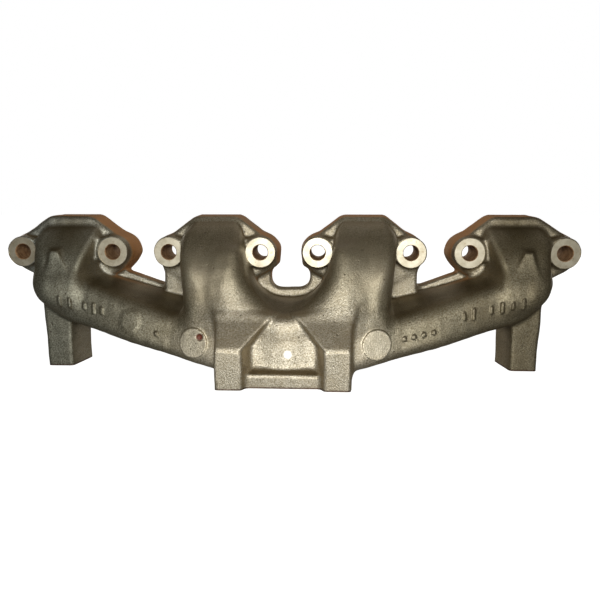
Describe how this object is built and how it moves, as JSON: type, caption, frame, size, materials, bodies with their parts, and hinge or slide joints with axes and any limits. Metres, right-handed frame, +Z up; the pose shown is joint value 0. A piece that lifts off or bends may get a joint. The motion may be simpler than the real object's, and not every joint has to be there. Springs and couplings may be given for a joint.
{
  "type": "exhaust manifold",
  "caption": "Cast-iron log exhaust manifold: flanged ports with bolt bosses feed two sloping logs and a central collector with a downward outlet flange.",
  "frame": {"origin": "on the face that bolts to the cylinder head, halfway along the straight line of the eight bolt holes", "axes": "+X along the engine, +Y into the cylinder head, +Z up; the outlet faces -Z and the branches stand out towards -Y"},
  "size_m": [0.4434, 0.107, 0.1155],
  "materials": {
    "cast_iron": "sand-cast skin, grey-brown, matt to satin"
  },
  "bodies": {
    "root": {"branch_1": "cast_iron", "branch_2": "cast_iron", "branch_3": "cast_iron", "branch_4": "cast_iron", "branch_rib_left": "cast_iron", "branch_rib_right": "cast_iron", "cast_pad_left": "cast_iron", "cast_pad_right": "cast_iron", "collector": "cast_iron", "foot_left": "cast_iron", "foot_right": "cast_iron", "gusset_left": "cast_iron", "gusset_right": "cast_iron", "log_end_left": "cast_iron", "log_end_right": "cast_iron", "log_inner_left": "cast_iron", "log_inner_right": "cast_iron", "log_outer_left": "cast_iron", "log_outer_right": "cast_iron", "outlet_ear_left": "cast_iron", "outlet_ear_right": "cast_iron", "outlet_flange": "cast_iron", "port_flange_1": "cast_iron", "port_flange_2": "cast_iron", "port_flange_3": "cast_iron", "port_flange_4": "cast_iron", "stud_boss_left": "cast_iron", "stud_boss_right": "cast_iron", "web_centre": "cast_iron", "web_left": "cast_iron", "web_right": "cast_iron"}
  },
  "joints": []
}
